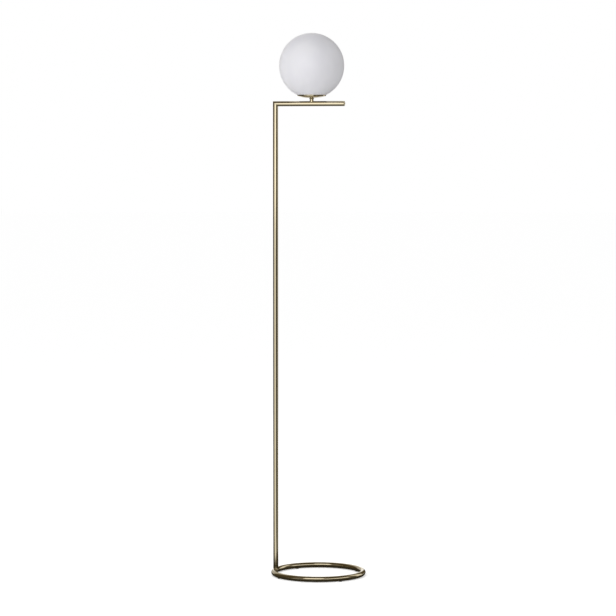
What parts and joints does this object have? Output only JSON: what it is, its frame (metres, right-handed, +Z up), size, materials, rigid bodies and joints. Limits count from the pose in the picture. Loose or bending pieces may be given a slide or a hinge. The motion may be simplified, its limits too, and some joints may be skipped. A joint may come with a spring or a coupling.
{
  "type": "globe floor lamp",
  "caption": "Floor lamp with a slim brass pole rising from the rim of a floor ring to a short side arm that carries an opal glass globe on a shallow saucer.",
  "frame": {"origin": "centre of the floor ring, on the floor", "axes": "+Z up, +X along the arm from the pole towards its free end, +Y towards the lamp's rear side, where the cord enters the pole"},
  "size_m": [0.293, 0.293, 1.6763],
  "materials": {
    "brass": "polished pale brass, clear lacquered",
    "opal_glass": "satin white opal glass",
    "black_rubber": "matt",
    "black_plastic": "fine matt",
    "zinc_steel": "zinc plated",
    "spring_steel": "bright rolled strip",
    "raw_brass": "turned, unpolished",
    "nickel": "nickel plated",
    "flex_sheath": "smooth sheath",
    "core_insulation": "smooth insulation",
    "clear_silicone": "milky, satin",
    "holder_plastic": "moulded, half gloss",
    "porcelain": "glazed",
    "black_glass": "vitrified, glossy",
    "bulb_plastic": "moulded, satin",
    "bulb_diffuser": "frosted diffuser",
    "white_board": "white solder mask",
    "led_yellow": "phosphor",
    "green_board": "solder mask"
  },
  "bodies": {
    "stand": {"base_ring": "brass", "floor_pads": "black_rubber", "foot_screw": "zinc_steel", "foot_plug": "zinc_steel", "pole_lower": "brass", "pole_coupler_lower": "zinc_steel", "pole_middle": "brass", "pole_coupler_upper": "zinc_steel", "pole_upper": "brass", "arm_tube": "brass", "arm_end_cap": "brass", "cable_bush": "black_plastic", "supply_cable": "flex_sheath", "core_wires": "core_insulation", "stem_socket": "raw_brass", "threaded_nipple": "zinc_steel", "stem_sleeve": "brass", "saucer": "brass", "rim_gasket": "clear_silicone", "lock_washer": "zinc_steel", "nipple_nut": "zinc_steel", "spring_clip": "spring_steel", "holder_base": "holder_plastic", "holder_body": "holder_plastic", "contact_block": "porcelain", "terminal_screws": "zinc_steel", "screw_shell": "nickel", "centre_contact": "raw_brass"},
    "globe": {"glass_globe": "opal_glass"},
    "bulb": {"bulb_contact": "nickel", "bulb_insulator": "black_glass", "bulb_cap": "nickel", "bulb_housing": "bulb_plastic", "bulb_dome": "bulb_diffuser", "led_board": "white_board", "led_chips": "led_yellow", "led_driver": "green_board"}
  },
  "joints": [
    {"name": "globe_lift", "type": "slide", "parent": "stand", "child": "globe", "axis": [0, 0, 1], "range_m": [0, 0.2]},
    {"name": "bulb_lift", "type": "slide", "parent": "stand", "child": "bulb", "axis": [0, 0, 1], "range_m": [0, 0.045]}
  ]
}
